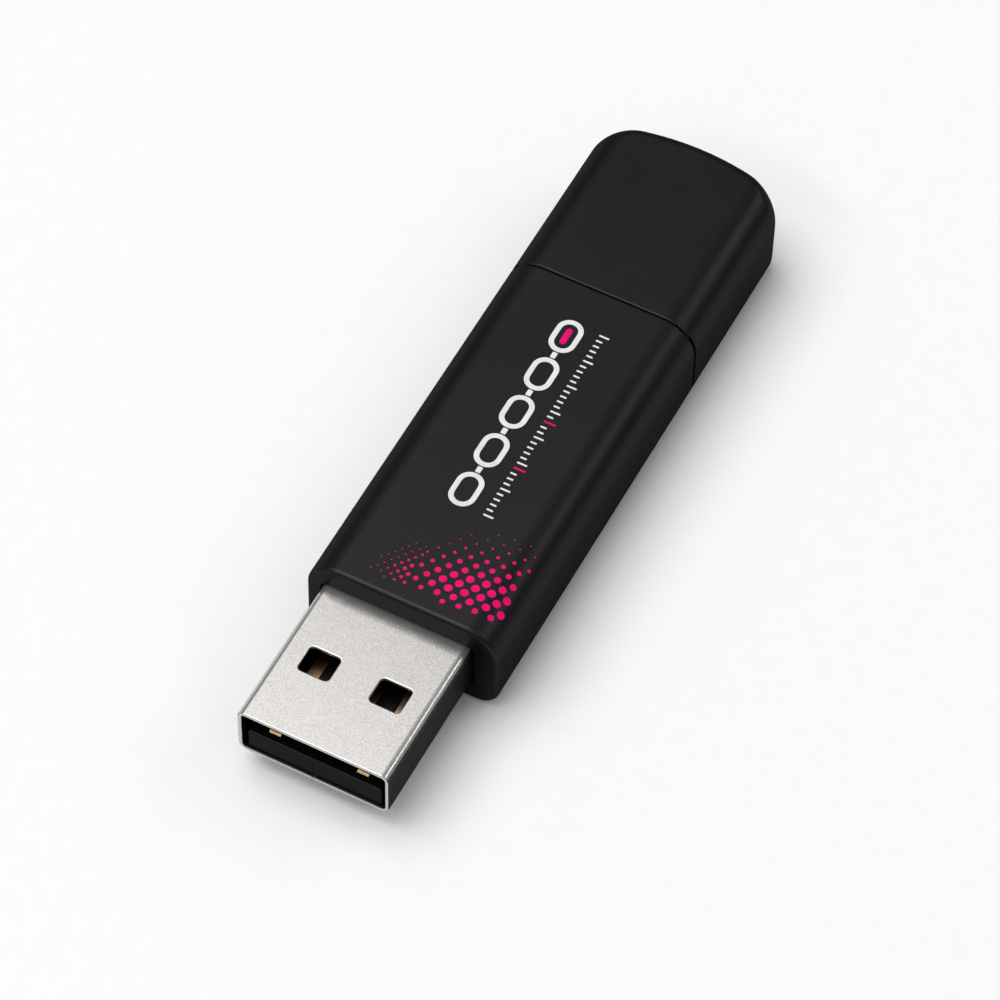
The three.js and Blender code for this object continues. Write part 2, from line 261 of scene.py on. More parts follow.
@dataclass(frozen=True)
class PrintingInk:
    """Pad-printed ink, a little uneven in cover and duller than the plastic round it."""

    name: str
    thin: Colour
    full: Colour
    roughness: float = 0.5
    variation: float = 0.08
    grain_depth: float = 4e-6

    def material(self) -> bpy.types.Material:
        """Builds the material."""
        sheet = ShaderSheet(self.name)
        sheet.constant(specular_ior_level=0.08)
        cover = sheet.noise(Band.MOTTLE.value * 2.0, 3.0)
        sheet.paint(cover, self.thin, self.full)
        sheet.roughen(cover, self.roughness + self.variation, self.roughness - self.variation)
        sheet.bump(sheet.noise(Band.GRAIN.value, 2.0), self.grain_depth)
        return sheet.material


@dataclass(frozen=True)
class SolderMask:
    """Green solder mask, lighter where it covers copper tracks."""

    name: str = "solder_mask"
    dark: Colour = (0.010, 0.055, 0.026)
    light: Colour = (0.022, 0.125, 0.055)
    roughness: tuple[float, float] = (0.28, 0.42)
    track_depth: float = 1.5e-5

    def material(self) -> bpy.types.Material:
        """Builds the material."""
        sheet = ShaderSheet(self.name)
        tracks = sheet.tree.nodes.new("ShaderNodeTexWave")
        tracks.bands_direction = "X"
        for name, number in (("Scale", 320.0), ("Distortion", 5.0), ("Detail", 1.0), ("Detail Scale", 0.6)):
            tracks.inputs[name].default_value = number
        sheet.link(sheet.place, tracks.inputs["Vector"])
        sheet.paint(tracks.outputs["Fac"], self.dark, self.light)
        sheet.roughen(sheet.noise(Band.MOTTLE.value), *self.roughness)
        sheet.bump(tracks.outputs["Fac"], self.track_depth)
        return sheet.material


@dataclass(frozen=True)
class SmallBody:
    """The moulded or fired body of a small component, speckled by its filler."""

    name: str
    dark: Colour
    light: Colour
    roughness: float = 0.5
    variation: float = 0.07
    grain_depth: float = 6e-6

    def material(self) -> bpy.types.Material:
        """Builds the material."""
        sheet = ShaderSheet(self.name)
        speckle = sheet.noise(Band.SPECKLE.value, 4.0)
        sheet.paint(speckle, self.dark, self.light)
        mottle = sheet.noise(Band.MOTTLE.value)
        sheet.roughen(mottle, self.roughness - self.variation, self.roughness + self.variation)
        sheet.bump(speckle, self.grain_depth)
        return sheet.material


@dataclass(frozen=True)
class PaperSweep:
    """The matt white paper that the drive lies on."""

    name: str = "paper_sweep"
    dark: Colour = (0.835, 0.835, 0.835)
    light: Colour = (0.845, 0.845, 0.845)

    def material(self) -> bpy.types.Material:
        """Builds the material."""
        sheet = ShaderSheet(self.name)
        sheet.constant(roughness=1.0, specular_ior_level=0.0)
        sheet.paint(sheet.noise(Band.MOTTLE.value, 3.0), self.dark, self.light)
        return sheet.material


# ------------------------------------------------------------------------------------------------------------
# Modelling helpers, in millimetres
# ------------------------------------------------------------------------------------------------------------


def node_box(node: str) -> tuple[Vector, Vector]:
    """The lowest and highest corners of a CAD node at rest, in millimetres."""
    low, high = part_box(node)
    return low / MM, high / MM


@dataclass(frozen=True)
class Outline:
    """A rectangle with rounded corners, standing across the drive."""

    x: float
    z: float
    width: float
    height: float
    upper: float
    lower: float
    segments: int = 14

    def grown(self, by: float) -> "Outline":
        """The same outline moved outwards all round by a distance, or inwards by a negative one."""
        return replace(
            self,
            width=self.width + 2 * by,
            height=self.height + 2 * by,
            upper=self.upper + by,
            lower=self.lower + by,
        )

    def face(self, shape: bmesh.types.BMesh, y: float) -> bmesh.types.BMFace:
        """Draws the outline as one face.

        Args:
            shape: the mesh that it is drawn in.
            y: where it stands.

        Returns:
            The face, looking towards -Y.
        """
        before = set(shape.faces)
        corners = bmesh.ops.create_grid(shape, x_segments=1, y_segments=1, size=0.5)["verts"]
        bmesh.ops.scale(shape, vec=(self.width, self.height, 1.0), verts=corners)
        bmesh.ops.rotate(shape, cent=(0, 0, 0), matrix=Matrix.Rotation(math.pi / 2, 3, "X"), verts=corners)
        bmesh.ops.translate(shape, vec=(self.x, y, self.z), verts=corners)
        above = [v for v in corners if v.co.z > self.z]
        below = [v for v in corners if v.co.z < self.z]
        for group, radius in ((above, self.upper), (below, self.lower)):
            round_corners(shape, group, radius, self.segments)
        return next(f for f in shape.faces if f not in before)


def round_corners(
    shape: bmesh.types.BMesh, corners: list[bmesh.types.BMVert], radius: float, segments: int
) -> None:
    """Rounds the corners of a flat face.

    Args:
        shape: the mesh.
        corners: the face's corner vertices that are rounded.
        radius: the corners' radius.
        segments: how many steps each corner takes.
    """
    bmesh.ops.bevel(
        shape,
        geom=corners,
        offset=radius,
        offset_type="OFFSET",
        affect="VERTICES",
        segments=segments,
        profile=0.5,
        material=-1,
        clamp_overlap=False,
    )


def plate(
    shape: bmesh.types.BMesh, centre: Vector, width: float, length: float, corner: float
) -> bmesh.types.BMFace:
    """Draws a rectangle with rounded corners, lying flat, as one face.

    Args:
        shape: the mesh that it is drawn in.
        centre: its middle.
        width: its size across the drive.
        length: its size along the drive.
        corner: the radius of its corners.

    Returns:
        The face.
    """
    before = set(shape.faces)
    corners = bmesh.ops.create_grid(shape, x_segments=1, y_segments=1, size=0.5)["verts"]
    bmesh.ops.scale(shape, vec=(width, length, 1.0), verts=corners)
    bmesh.ops.translate(shape, vec=centre, verts=corners)
    round_corners(shape, corners, corner, 6)
    return next(f for f in shape.faces if f not in before)


def loft(shape: bmesh.types.BMesh, stations: list[tuple[Outline, float]], closed: bool = False) -> None:
    """Skins a row of outlines with bridges.

    Args:
        shape: the mesh that the skin is made in.
        stations: each outline with its place along Y. They all have the same number of points.
        closed: joins the last outline to the first. Otherwise both ends are closed by a face.
    """
    rings = []
    for index, (outline, y) in enumerate(stations):
        face = outline.face(shape, y)
        rings.append(list(face.edges))
        if closed or 0 < index < len(stations) - 1:
            bmesh.ops.delete(shape, geom=[face], context="FACES_ONLY")
    following = rings[1:] + rings[:1] if closed else rings[1:]
    for ring, after in zip(rings, following):
        bmesh.ops.bridge_loops(shape, edges=ring + after)


def rounding(outline: Outline, y: float, radius: float, outwards: int, turn: int, steps: int = 6) -> list:
    """The stations of a quarter-round edge between a wall along Y and a face across it.

    Args:
        outline: the wall's outline, where the rounding leaves it.
        y: where the face stands.
        radius: the rounding's radius.
        outwards: 1 where the material is inside the outline, -1 where it is outside.
        turn: 1 where the material is at higher y than the face, -1 where it is at lower y.
        steps: how many steps the rounding takes.

    Returns:
        The stations, from the face to the wall.
    """
    stations = []
    for step in range(steps + 1):
        angle = step / steps * math.pi / 2
        inset = radius * (1 - math.sin(angle))
        stations.append((outline.grown(-outwards * inset), y + turn * radius * (1 - math.cos(angle))))
    return stations


def finished(
    shape: bmesh.types.BMesh, name: str, materials: list[bpy.types.Material], outwards: bool = True
) -> bpy.types.Object:
    """Makes a finished shape an object, in metres, smooth but for its sharp edges.

    Args:
        shape: the shape in millimetres, which is used up.
        name: the piece's name.
        materials: its materials, in the order of its faces' material indices.
        outwards: works out afresh which way the faces look.

    Returns:
        The object, at the origin.
    """
    if outwards:
        bmesh.ops.recalc_face_normals(shape, faces=shape.faces)
    bmesh.ops.scale(shape, vec=(MM, MM, MM), verts=shape.verts)
    for face in shape.faces:
        face.smooth = True
    mesh = bpy.data.meshes.new(name)
    shape.to_mesh(mesh)
    shape.free()
    for material in materials:
        mesh.materials.append(material)
    mesh.set_sharp_from_angle(angle=SHARP)
    piece = bpy.data.objects.new(name, mesh)
    bpy.context.scene.collection.objects.link(piece)
    return piece


def soften(piece: bpy.types.Object, width: float, segments: int = 3, clamp: bool = True) -> None:
    """Breaks a piece's sharp edges.

    Args:
        piece: the piece.
        width: the width of the broken edge, in millimetres.
        segments: how many steps it takes.
        clamp: keeps the broken edges from running into each other.
    """
    bevel = piece.modifiers.new("broken_edges", "BEVEL")
    bevel.width = width * MM
    bevel.segments = segments
    bevel.limit_method = "ANGLE"
    bevel.angle_limit = SHARP
    bevel.use_clamp_overlap = clamp


def even_shading(piece: bpy.types.Object) -> None:
    """Lets the flat faces set the shading, so that they stay flat up to their rounded edges."""
    shading = piece.modifiers.new("even_shading", "WEIGHTED_NORMAL")
    shading.keep_sharp = True
    shading.weight = 80


def place(piece: bpy.types.Object, body: str, slot: str, *nodes: str) -> bpy.types.Object:
    """Hands a piece to the frame.

    Args:
        piece: the piece.
        body: the CAD body that it moves with.
        slot: the name of a material slot in the record; not used.
        *nodes: the CAD nodes that it stands for.

    Returns:
        The piece.
    """
    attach(piece, body)
    if nodes:
        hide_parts(*nodes)
    LOG.info("%s rides on %s, %d faces", piece.name, body, len(piece.data.polygons))
    return piece


# ------------------------------------------------------------------------------------------------------------
# Casing
# ------------------------------------------------------------------------------------------------------------


@dataclass
class Casing:
    """The sleeve and the cap, which share one outline. The cap's rim at the sides is painted near black:
    painted shadow in the seam.
    """

    finish: bpy.types.Material
    seam_shadow_finish: bpy.types.Material
    upper_radius: float = 2.8
    lower_radius: float = 1.8
    wall: float = 1.1
    front_wall: float = 1.2
    front_edge: float = 0.35
    seam_edge: float = 0.15
    bow_radius: float = 21.0
    bow_corner: float = 1.5
    cap_end_edge: float = 0.8
    mouth_edge: float = 0.3
    opening_edge: float = 0.1
    plug_gap: float = 0.12
    cap_fit: float = 0.2
    cap_end_wall: float = 3.1
    seam_shadow_facing: float = -0.1
    seam_shadow_aside: float = 1.4

    def outline(self) -> Outline:
        """The outline that the sleeve and the cap share."""
        low, high = node_box("body_sleeve")
        return Outline(
            x=(low.x + high.x) / 2,
            z=(low.z + high.z) / 2,
            width=high.x - low.x,
            height=high.z - low.z,
            upper=self.upper_radius,
            lower=self.lower_radius,
        )

    def sleeve(self, opening: Outline) -> bpy.types.Object:
        """Models the sleeve: a tube with a front wall that has the plug's opening.

        Args:
            opening: the outline of the opening in the front wall.

        Returns:
            The finished piece.
        """
        low, high = node_box("body_sleeve")
        outside = self.outline()
        inside = outside.grown(-self.wall)
        shape = bmesh.new()
        stations = [
            *rounding(outside, low.y, self.front_edge, 1, 1),
            *reversed(rounding(outside, high.y, self.seam_edge, 1, -1, 4)),
            (inside, high.y),
            (inside, low.y + self.front_wall),
            (opening, low.y + self.front_wall),
            *reversed(rounding(opening, low.y, self.opening_edge, -1, 1, 3)),
        ]
        loft(shape, stations, closed=True)
        piece = finished(shape, "sleeve", [self.finish])
        even_shading(piece)
        return place(piece, DRIVE, "body_plastic", "body_sleeve")

    def cap(self, cavity: Outline) -> bpy.types.Object:
        """Models the cap: a cup with a bowed, rounded end.

        Args:
            cavity: the outline of its inside.

        Returns:
            The finished piece.
        """
        low, high = node_box("cap")
        outside = self.outline()
        shape = bmesh.new()
        stations = [
            *self.cap_end(outside, high.y),
            *reversed(rounding(outside, low.y, self.seam_edge, 1, 1, 4)),
            *rounding(cavity, low.y, self.mouth_edge, -1, 1, 4),
            (cavity, high.y - self.cap_end_wall),
        ]
        loft(shape, stations)
        self.bow(shape, high.y)
        bmesh.ops.recalc_face_normals(shape, faces=shape.faces)
        # The cap's faces that look forward and aside, at its rim by the seam, take a near-black finish:
        # painted shadow along the seam on the sides.
        for face in shape.faces:
            looks_forward = face.normal.y < self.seam_shadow_facing
            looks_aside = abs(face.normal.x) > self.seam_shadow_aside * abs(face.normal.z)
            face.material_index = 1 if looks_forward and looks_aside else 0
        piece = finished(shape, "pull_off_cap", [self.finish, self.seam_shadow_finish])
        even_shading(piece)
        return place(piece, CAP, "body_plastic", "cap")

    def cap_end(self, outside: Outline, end: float, steps: int = 12) -> list[tuple[Outline, float]]:
        """The stations of the cap's closed end, before it is bowed.

        Args:
            outside: the cap's outline.
            end: where the closed end is.
            steps: how many steps the rounding takes.

        Returns:
            The stations, from the end to the straight wall. The sides round off further than top and bottom.
        """
        stations = []
        for step in range(steps + 1):
            angle = step / steps * math.pi / 2
            depth = self.bow_corner * (1 - math.cos(angle))
            across = self.bow_corner * (1 - math.sin(angle))
            left = max(0.0, self.cap_end_edge - depth)
            upright = self.cap_end_edge - math.sqrt(self.cap_end_edge**2 - left**2)
            narrowed = outside.grown(-upright)
            stations.append((replace(narrowed, width=outside.width - 2 * across), end - depth))
        return stations

    def bow(self, shape: bmesh.types.BMesh, end: float, strips: int = 16) -> None:
        """Bows the cap's closed end, seen from above.

        Args:
            shape: the cap's mesh.
            end: where the closed end is.
            strips: how many strips the end is parted into, so that it can follow the bow.
        """
        outline = self.outline()
        for index in range(1, strips):
            x = outline.x + outline.width * (index / strips - 0.5)
            everything = [*shape.verts, *shape.edges, *shape.faces]
            bmesh.ops.bisect_plane(shape, geom=everything, dist=1e-5, plane_co=(x, 0, 0), plane_no=(1, 0, 0))
        for vert in shape.verts:
            if vert.co.y > end - self.bow_corner - 0.01:
                vert.co.y -= self.bow_radius - math.sqrt(self.bow_radius**2 - (vert.co.x - outline.x) ** 2)


# ------------------------------------------------------------------------------------------------------------
# Plug
# ------------------------------------------------------------------------------------------------------------


@dataclass
class Plug:
    """The type A plug: a folded shell, blasted above and below; its sides and its inside are painted dark, as
    painted shade and painted dark reflection.
    """

    finish: bpy.types.Material
    sides: bpy.types.Material
    corner: float = 0.64
    sheet: float = 0.3
    window_width: float = 2.5
    window_length: float = 2.2
    window_corner: float = 0.35
    window_from_mouth: float = 5.1
    window_from_middle: float = 2.85
    frame_width: float = 0.12
    seam_width: float = 0.03
    rim: float = 0.09
    length: float = 18.5
    side_normal: float = 0.8
    flat_normal: float = 0.9999

    def outline(self) -> Outline:
        """The shell's outer outline."""
        low, high = node_box("plug_shell")
        height = 2 * (high.z - self.middle_height())
        return Outline(
            x=(low.x + high.x) / 2,
            z=self.middle_height(),
            width=high.x - low.x,
            height=height,
            upper=self.corner,
            lower=self.corner,
            segments=10,
        )

    @staticmethod
    def middle_height() -> float:
        """The height of the plug's middle."""
        low, high = node_box("plug_insulator")
        return (low.z + high.z) / 2

    def shell(self) -> bpy.types.Object:
        """Models the shell from one sheet: a tube, four windows, a seam underneath, and then its thickness.

        Returns:
            The finished piece.
        """
        outline = self.outline()
        mouth = node_box("plug_shell")[0].y
        shape = bmesh.new()
        loft(shape, [(outline, mouth), (outline, mouth + self.length)])
        ends = [f for f in shape.faces if abs(f.normal.y) > 0.9]
        bmesh.ops.delete(shape, geom=ends, context="FACES_ONLY")
        self.cut_seam(shape, outline)
        for up in (-1, 1):
            self.cut_windows(shape, outline, mouth, up)
        bmesh.ops.recalc_face_normals(shape, faces=shape.faces)
        # Faces that look sideways take the dark second finish: painted shade and painted dark reflection on
        # the plug's sides.
        for face in shape.faces:
            face.material_index = 1 if abs(face.normal.x) > self.side_normal else 0
        piece = finished(shape, "plug_shell_skin", [self.finish, self.sides], outwards=False)
        for polygon in piece.data.polygons:
            polygon.use_smooth = max(abs(polygon.normal.x), abs(polygon.normal.z)) < self.flat_normal
        thickness = piece.modifiers.new("sheet", "SOLIDIFY")
        thickness.thickness = self.sheet * MM
        thickness.offset = -1.0
        thickness.use_even_offset = True
        # The inside of the sheet takes the dark second finish too: painted shade inside the shell.
        thickness.material_offset = 1
        thickness.material_offset_rim = -1
        soften(piece, self.rim, clamp=False)
        even_shading(piece)
        return place(piece, DRIVE, "plug_steel", "plug_shell")

    def cut_windows(self, shape: bmesh.types.BMesh, outline: Outline, mouth: float, up: int) -> None:
        """Cuts the two windows of the upper or the lower side.

        Args:
            shape: the tube's mesh.
            outline: the tube's outline.
            mouth: where the plug's mouth is.
            up: 1 for the upper side, -1 for the lower.
        """
        height = outline.z + up * outline.height / 2
        y = mouth + self.window_from_mouth + self.window_length / 2
        flat = outline.width / 2 - self.corner - self.frame_width
        self.part_flat(shape, height, Vector((outline.x - flat, 0, 0)), Vector((1, 0, 0)))
        self.part_flat(shape, height, Vector((outline.x + flat, 0, 0)), Vector((1, 0, 0)))
        self.part_flat(shape, height, Vector((0, mouth + 2 * self.frame_width, 0)), Vector((0, 1, 0)))
        for pane in self.flat_faces(shape, height):
            low, high = min(v.co.x for v in pane.verts), max(v.co.x for v in pane.verts)
            if max(v.co.y for v in pane.verts) < y:
                continue
            rims = list(pane.edges)
            for side in (-1, 1):
                x = outline.x + side * self.window_from_middle
                if low < x < high:
                    centre = Vector((x, y, height))
                    window = plate(
                        shape, centre, self.window_width, self.window_length, self.window_corner
                    )
                    rims.extend(window.edges)
                    bmesh.ops.delete(shape, geom=[window], context="FACES_ONLY")
            if len(rims) > len(pane.edges):
                bmesh.ops.delete(shape, geom=[pane], context="FACES_ONLY")
                bmesh.ops.triangle_fill(shape, edges=rims, use_beauty=True, normal=(0, 0, up))

    @staticmethod
    def flat_faces(shape: bmesh.types.BMesh, height: float) -> list[bmesh.types.BMFace]:
        """The faces that lie flat at a height."""
        return [f for f in shape.faces if all(abs(v.co.z - height) < 1e-4 for v in f.verts)]

    def part_flat(self, shape: bmesh.types.BMesh, height: float, point: Vector, normal: Vector) -> None:
        """Parts the faces that lie flat at a height.

        Args:
            shape: the mesh.
            height: the faces' height.
            point: a point of the plane that parts them.
            normal: the plane's direction.
        """
        flat = self.flat_faces(shape, height)
        geometry = [*{v for f in flat for v in f.verts}, *{e for f in flat for e in f.edges}, *flat]
        bmesh.ops.bisect_plane(shape, geom=geometry, dist=1e-5, plane_co=point, plane_no=normal)

    def cut_seam(self, shape: bmesh.types.BMesh, outline: Outline) -> None:
        """Parts the lower side along its middle, where the folded sheet's edges meet."""
        height = outline.z - outline.height / 2
        for side in (-1, 1):
            point = Vector((outline.x + side * self.seam_width / 2, 0, height))
            self.part_flat(shape, height, point, Vector((1, 0, 0)))
        strip = [
            f
            for f in self.flat_faces(shape, height)
            if abs(f.calc_center_median().x - outline.x) < self.seam_width / 2
        ]
        bmesh.ops.delete(shape, geom=strip, context="FACES")


# ------------------------------------------------------------------------------------------------------------
# Refined copies of the smaller CAD nodes
# ------------------------------------------------------------------------------------------------------------


@dataclass
class RefinedNode:
    """A CAD node whose shape is right, with its edges broken and its ends or leads in a second finish."""

    node: str
    slot: str
    finish: bpy.types.Material
    edge: float = 0.05
    ends: bpy.types.Material | None = None
    ends_beyond_x: float = math.inf
    ends_beyond_y: float = math.inf

    def build(self) -> bpy.types.Object:
        """Copies the node, joins its loose triangles into whole faces and breaks its edges.

        Returns:
            The finished piece.
        """
        shape = bmesh.new()
        shape.from_mesh(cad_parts[self.node].data)
        bmesh.ops.scale(shape, vec=(1 / MM, 1 / MM, 1 / MM), verts=shape.verts)
        bmesh.ops.remove_doubles(shape, verts=shape.verts, dist=1e-3)
        bmesh.ops.dissolve_limit(
            shape, angle_limit=math.radians(1.0), verts=shape.verts, edges=shape.edges, delimit=set()
        )
        low, high = node_box(self.node)
        middle = (low + high) / 2
        for face in shape.faces:
            face.material_index = 0
            away = face.calc_center_median() - middle
            if abs(away.x) > self.ends_beyond_x or abs(away.y) > self.ends_beyond_y:
                face.material_index = 1
        materials = [self.finish] + ([self.ends] if self.ends else [])
        piece = finished(shape, f"{self.node}_refined", materials, outwards=False)
        soften(piece, self.edge, 2)
        even_shading(piece)
        return place(piece, DRIVE, self.slot, self.node)


# ------------------------------------------------------------------------------------------------------------
# Print on the upper face
# ------------------------------------------------------------------------------------------------------------


@dataclass
class Print:
    """The printed decoration: a row of linked capsules, a ruler and a halftone at the front right corner."""

    white: bpy.types.Material
    magenta: bpy.types.Material
    casing: Outline
    front: float
    ink: float = 0.02
    sunk: float = 0.006
    capsule_x: float = -0.55
    capsule_length: float = 3.15
    capsule_width: float = 2.1
    capsule_stroke: float = 0.4
    capsule_corner: float = 0.49
    capsule_gap: float = 0.75
    capsules: int = 5
    capsule_start: float = 9.2
    link_gap: float = 0.1
    link_corner: float = 0.05
    ruler_left: float = 1.55
    ruler_pitch: float = 0.52
    ruler_ticks: int = 36
    ruler_start: float = 9.4
    tick: float = 0.15
    tick_short: float = 0.5
    tick_tall: float = 0.8
    tick_marked: float = 0.95
    halftone_left: float = -3.6
    halftone_right: float = 6.75
    halftone_front: float = 1.3
    halftone_rear: float = 10.2
    halftone_slant: float = -37.0
    halftone_centre: tuple[float, float] = (2.0, 5.0)
    halftone_span: float = 9.0
    coarse_pitch: float = 0.86
    fine_pitch: float = 0.54
    coarse_from: float = -0.5
    largest_dot: float = 0.32
    smallest_dot: float = 0.045
    reach_lead: float = 0.3
    reach_growth: float = 4.6
    size_growth: float = 5.6
    size_fade: float = 1.55
    front_share: float = 0.6
    front_growth: float = 3.0

    def slab(self, shape: bmesh.types.BMesh, faces: list[bmesh.types.BMFace]) -> None:
        """Gives flat faces on the upper surface the thickness of the ink."""
        made = bmesh.ops.extrude_face_region(shape, geom=faces)["geom"]
        raised = [g for g in made if isinstance(g, bmesh.types.BMVert)]
        bmesh.ops.translate(shape, vec=(0, 0, self.ink + self.sunk), verts=raised)

    def on_top(self, x: float, y: float) -> Vector:
        """The place on the upper face where a flat print starts, a little sunk in."""
        return Vector((x, y, self.casing.z + self.casing.height / 2 - self.sunk))

    def capsule_row(self) -> None:
        """Prints the row of outlined capsules, the last of them with a magenta core."""
        rings, core = bmesh.new(), bmesh.new()
        y = self.front + self.capsule_start + self.capsule_length / 2
        for index in range(self.capsules):
            corner = self.capsule_width * self.capsule_corner
            middle = self.on_top(self.capsule_x, y)
            bar = plate(rings, middle, self.capsule_width, self.capsule_length, corner)
            bmesh.ops.inset_region(
                rings, faces=[bar], thickness=self.capsule_stroke, use_even_offset=True, use_boundary=True
            )
            bmesh.ops.delete(rings, geom=[bar], context="FACES_ONLY")
            inner = self.capsule_width - 4 * self.capsule_stroke
            if index == self.capsules - 1:
                length = self.capsule_length - 4 * self.capsule_stroke
                self.slab(core, [plate(core, middle, inner, length, inner * self.capsule_corner)])
            else:
                link = self.on_top(self.capsule_x, y + (self.capsule_length + self.capsule_gap) / 2)
                length = self.capsule_gap - 2 * self.link_gap
                plate(rings, link, self.capsule_stroke, length, self.link_corner)
            y += self.capsule_length + self.capsule_gap
        self.slab(rings, list(rings.faces))
        place(finished(rings, "capsule_print", [self.white]), DRIVE, "body_plastic")
        place(finished(core, "capsule_core_print", [self.magenta]), DRIVE, "body_plastic")

    def ruler(self) -> None:
        """Prints the ruler: fine ticks, with every fifth one taller and two magenta ones that part it."""
        white, magenta = bmesh.new(), bmesh.new()
        parting = (round(self.ruler_ticks / 4), round(self.ruler_ticks / 2))
        for index in range(self.ruler_ticks):
            y = self.front + self.ruler_start + index * self.ruler_pitch
            marked = index in parting
            plain = self.tick_tall if index % 5 == 0 else self.tick_short
            width = self.tick_marked if marked else plain
            target = magenta if marked else white
            middle = self.on_top(self.ruler_left + width / 2, y)
            self.slab(target, [plate(target, middle, width, self.tick, self.tick * 0.3)])
        place(finished(white, "ruler_print", [self.white]), DRIVE, "body_plastic")
        place(finished(magenta, "ruler_mark_print", [self.magenta]), DRIVE, "body_plastic")

    def dot_radius(self, across: float, along: float) -> float:
        """The size of the halftone's dot at a place.

        Args:
            across: the distance from the drive's middle, measured over the surface.
            along: the distance behind the body's front.

        Returns:
            The dot's radius, or 0 where there is none.
        """
        if not (self.halftone_left < across < self.halftone_right and along > self.halftone_front):
            return 0.0
        from_left = across - self.halftone_left
        from_front = along - self.halftone_front
        share = 1 - math.exp(-(from_left + self.reach_lead) / self.reach_growth)
        depth = 1 - from_front / ((self.halftone_rear - self.halftone_front) * share)
        if depth <= 0:
            return 0.0
        by_side = min(1.0, from_left / self.size_growth) ** 0.9
        by_depth = min(1.0, self.size_fade * depth) ** 1.1
        by_front = min(1.0, self.front_share + from_front / self.front_growth)
        return max(self.largest_dot * by_side * by_depth * by_front, self.smallest_dot)

    def wrapped(self, across: float, y: float, lift: float) -> Vector:
        """Lays a point onto the upper face and over its rounded right edge.

        Args:
            across: the distance from the drive's middle, measured over the surface.
            y: the place along the drive.
            lift: the height above the surface.

        Returns:
            The point.
        """
        radius = self.casing.upper
        flat = self.casing.width / 2 - radius
        centre = Vector((self.casing.x + flat, y, self.casing.z + self.casing.height / 2 - radius))
        if across <= flat:
            return Vector((self.casing.x + across, y, centre.z + radius + lift))
        angle = (across - flat) / radius
        return centre + (radius + lift) * Vector((math.sin(angle), 0, math.cos(angle)))

    def dot(self, shape: bmesh.types.BMesh, across: float, along: float, radius: float) -> None:
        """Prints one dot.

        Args:
            shape: the halftone's mesh.
            across: its distance from the drive's middle, measured over the surface.
            along: its distance behind the body's front.
            radius: its radius.
        """
        disc = bmesh.ops.create_circle(shape, cap_ends=True, segments=12, radius=radius)["verts"]
        made = bmesh.ops.extrude_face_region(shape, geom=list(disc[0].link_faces))["geom"]
        raised = {g for g in made if isinstance(g, bmesh.types.BMVert)}
        for vert in {*disc, *raised}:
            lift = self.ink if vert in raised else -self.sunk
            vert.co = self.wrapped(across + vert.co.x, self.front + along + vert.co.y, lift)

    def halftone(self) -> None:
        """Prints the halftone: a coarse slanted grid over the right edge, and a fine one at its left."""
        shape = bmesh.new()
        slant = Matrix.Rotation(math.radians(self.halftone_slant), 2)
        for pitch, coarse in ((self.coarse_pitch, True), (self.fine_pitch, False)):
            reach = round(self.halftone_span / pitch)
            for row in range(-reach, reach + 1):
                for column in range(-reach, reach + 1):
                    across, along = slant @ Vector((row, column)) * pitch + Vector(self.halftone_centre)
                    radius = self.dot_radius(across, along)
                    if radius > 0.0 and coarse == (across > self.coarse_from):
                        self.dot(shape, across, along, radius)
        place(finished(shape, "halftone_print", [self.magenta]), DRIVE, "body_plastic")

    def build(self) -> None:
        """Prints everything."""
        self.capsule_row()
        self.ruler()
        self.halftone()


# ------------------------------------------------------------------------------------------------------------
# Board and what is inside
# ------------------------------------------------------------------------------------------------------------


@dataclass
class Inside:
    """The tail plug, the plug's inner parts, the board and its components."""

    moulded: bpy.types.Material
    insulator: bpy.types.Material
    gold: bpy.types.Material
    tin: bpy.types.Material

    def build(self) -> None:
        """Refines each CAD node of the inside."""
        epoxy = SmallBody("chip_epoxy", (0.010, 0.010, 0.011), (0.022, 0.022, 0.024), 0.58).material()
        steel_can = PlatedMetal("crystal_can", (0.52, 0.52, 0.50), (0.68, 0.68, 0.66), 0.22).material()
        ceramic = SmallBody("capacitor_ceramic", (0.33, 0.21, 0.12), (0.47, 0.31, 0.18), 0.45).material()
        glaze = SmallBody("resistor_glaze", (0.008, 0.008, 0.009), (0.02, 0.02, 0.022), 0.3).material()
        resin = SmallBody("led_resin", (0.70, 0.66, 0.54), (0.82, 0.79, 0.70), 0.3).material()
        nodes = [
            RefinedNode("tail_plug", "body_plastic", self.moulded, 0.08),
            RefinedNode("plug_insulator", "insulator_plastic", self.insulator, 0.09),
            RefinedNode("circuit_board", "board_laminate", SolderMask().material(), 0.04),
            RefinedNode("crystal", "crystal_can", steel_can, 0.04),
            RefinedNode("status_led", "led_resin", resin, 0.03),
            RefinedNode("flash_memory", "chip_epoxy", epoxy, 0.02, self.tin, ends_beyond_y=9.21),
            RefinedNode(
                "controller", "chip_epoxy", epoxy, 0.02, self.tin, ends_beyond_x=3.51, ends_beyond_y=3.51
            ),
        ]
        for name in ("power", "data_minus", "data_plus", "ground"):
            nodes.append(RefinedNode(f"contact_{name}", "contact_gold", self.gold, 0.05))
        for number in range(1, 5):
            for kind, finish, edge in (("capacitor", ceramic, 0.04), ("resistor", glaze, 0.03)):
                name, slot = f"{kind}_{number}", f"{kind}_body"
                nodes.append(RefinedNode(name, slot, finish, edge, self.tin, ends_beyond_x=0.56))
        for node in nodes:
            node.build()


# ------------------------------------------------------------------------------------------------------------
# Studio
# ------------------------------------------------------------------------------------------------------------


@dataclass(frozen=True)
class Sun:
    """A very large, far softbox, as a sun lamp with a wide disc."""

    name: str
    azimuth: float
    elevation: float
    width: float
    strength: float

    def hang(self, target: Vector) -> None:
        """Puts the lamp up and turns it to the target."""
        lamp = bpy.data.lights.new(self.name, "SUN")
        lamp.energy = self.strength
        lamp.angle = math.radians(self.width)
        holder = bpy.data.objects.new(self.name, lamp)
        bpy.context.scene.collection.objects.link(holder)
        back = direction(self.azimuth, self.elevation)
        holder.location = target + back
        holder.rotation_euler = back.to_track_quat("Z", "Y").to_euler()


